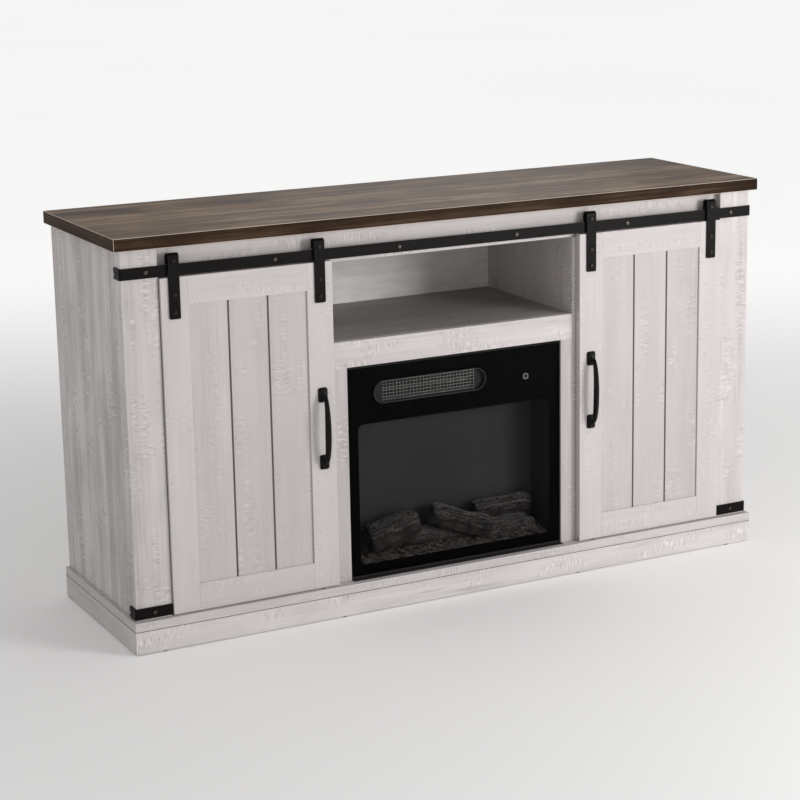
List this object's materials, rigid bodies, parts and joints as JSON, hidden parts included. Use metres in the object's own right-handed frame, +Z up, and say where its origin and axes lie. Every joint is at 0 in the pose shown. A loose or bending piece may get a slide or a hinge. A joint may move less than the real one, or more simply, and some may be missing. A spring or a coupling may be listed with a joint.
{
  "type": "electric fireplace console",
  "caption": "Free-standing media console with sliding doors on a flat rail, an open niche and an electric fireplace insert with a glass front, logs, blower and heater.",
  "frame": {"origin": "bottom centre of the whole object's box at rest, door pulls included, on the floor", "axes": "+Z up, -Y out of the front, +X to the right seen from the front, along the cabinet's width"},
  "size_m": [1.473, 0.4386, 0.822],
  "materials": {
    "walnut_laminate": "satin",
    "whitewashed_oak_laminate": "matt, embossed grain",
    "painted_hardboard": "matt",
    "black_powder_coated_steel": "satin powder coat",
    "black_cast_iron": "satin black",
    "blackened_steel_fasteners": "satin",
    "black_nylon": "matt",
    "zinc_plated_steel": "satin",
    "matt_black_sheet_steel": "matt",
    "tempered_glass": "polished",
    "smoked_acrylic": "frosted",
    "cast_resin_logs": "matt, bark texture",
    "cast_resin_embers": "matt",
    "circuit_board": "solder mask",
    "bright_aluminium": "bright",
    "bare_steel_mesh": "satin"
  },
  "bodies": {
    "cabinet": {"back_panel_niche": "painted_hardboard", "back_panels_side": "painted_hardboard", "base_skirts": "whitewashed_oak_laminate", "blower_housing": "zinc_plated_steel", "blower_motor": "zinc_plated_steel", "bottom_board": "whitewashed_oak_laminate", "control_board": "circuit_board", "cord_gland": "black_nylon", "corner_straps": "black_powder_coated_steel", "door_guides": "black_nylon", "door_rail": "black_powder_coated_steel", "ember_bed": "cast_resin_embers", "firebox_liner": "matt_black_sheet_steel", "flame_screen": "smoked_acrylic", "floor_glides": "black_nylon", "front_apron": "whitewashed_oak_laminate", "front_stile_left": "whitewashed_oak_laminate", "front_stile_right": "whitewashed_oak_laminate", "heater_element": "bright_aluminium", "insert_brackets": "matt_black_sheet_steel", "insert_casing": "matt_black_sheet_steel", "insert_glass": "tempered_glass", "insert_rear_cover": "matt_black_sheet_steel", "insert_trim": "matt_black_sheet_steel", "led_board": "circuit_board", "log_set": "cast_resin_logs", "niche_shelf": "whitewashed_oak_laminate", "outlet_grille": "bare_steel_mesh", "partition_left": "whitewashed_oak_laminate", "partition_right": "whitewashed_oak_laminate", "rail_screws": "blackened_steel_fasteners", "rail_spacers": "black_powder_coated_steel", "rear_posts": "whitewashed_oak_laminate", "shelf_fascia": "whitewashed_oak_laminate", "shelf_pins": "zinc_plated_steel", "side_panel_left": "whitewashed_oak_laminate", "side_panel_right": "whitewashed_oak_laminate", "side_shelves": "whitewashed_oak_laminate", "spindle_motor": "zinc_plated_steel", "surround_strips": "whitewashed_oak_laminate", "thermal_cutout": "black_nylon", "top_slab": "walnut_laminate"},
    "door_left": {"door_left_fasteners": "blackened_steel_fasteners", "door_left_hangers": "black_powder_coated_steel", "door_left_planks": "whitewashed_oak_laminate", "door_left_pull": "black_cast_iron", "door_left_rails": "whitewashed_oak_laminate", "door_left_stiles": "whitewashed_oak_laminate"},
    "door_right": {"door_right_fasteners": "blackened_steel_fasteners", "door_right_hangers": "black_powder_coated_steel", "door_right_planks": "whitewashed_oak_laminate", "door_right_pull": "black_cast_iron", "door_right_rails": "whitewashed_oak_laminate", "door_right_stiles": "whitewashed_oak_laminate"},
    "roller_left_outer": {"door_left_roller_outer": "black_nylon"},
    "roller_left_inner": {"door_left_roller_inner": "black_nylon"},
    "roller_right_outer": {"door_right_roller_outer": "black_nylon"},
    "roller_right_inner": {"door_right_roller_inner": "black_nylon"},
    "flame_spindle": {"flame_spindle": "bright_aluminium"},
    "blower_wheel": {"blower_wheel": "bright_aluminium"}
  },
  "joints": [
    {"name": "door_left_slide", "type": "slide", "parent": "cabinet", "child": "door_left", "axis": [1, 0, 0], "range_m": [0, 0.285]},
    {"name": "door_right_slide", "type": "slide", "parent": "cabinet", "child": "door_right", "axis": [-1, 0, 0], "range_m": [0, 0.285]},
    {"name": "roller_left_outer_turn", "type": "hinge", "parent": "door_left", "child": "roller_left_outer", "pos_m": [-0.6184, -0.1846, 0.7688], "axis": [0, 1, 0], "continuous": true},
    {"name": "roller_left_inner_turn", "type": "hinge", "parent": "door_left", "child": "roller_left_inner", "pos_m": [-0.314, -0.1846, 0.7688], "axis": [0, 1, 0], "continuous": true},
    {"name": "roller_right_outer_turn", "type": "hinge", "parent": "door_right", "child": "roller_right_outer", "pos_m": [0.6184, -0.1846, 0.7688], "axis": [0, -1, 0], "continuous": true},
    {"name": "roller_right_inner_turn", "type": "hinge", "parent": "door_right", "child": "roller_right_inner", "pos_m": [0.314, -0.1846, 0.7688], "axis": [0, -1, 0], "continuous": true},
    {"name": "flame_spindle_turn", "type": "hinge", "parent": "cabinet", "child": "flame_spindle", "pos_m": [0, -0.05565, 0.1302], "axis": [1, 0, 0], "continuous": true},
    {"name": "blower_wheel_turn", "type": "hinge", "parent": "cabinet", "child": "blower_wheel", "pos_m": [-0.06, -0.07565, 0.4527], "axis": [1, 0, 0], "continuous": true}
  ],
  "couplings": [
    {"joint": "roller_left_outer_turn", "follows": "door_left_slide", "rad_per_m": 166.67},
    {"joint": "roller_left_inner_turn", "follows": "door_left_slide", "rad_per_m": 166.67},
    {"joint": "roller_right_outer_turn", "follows": "door_right_slide", "rad_per_m": 166.67},
    {"joint": "roller_right_inner_turn", "follows": "door_right_slide", "rad_per_m": 166.67}
  ]
}
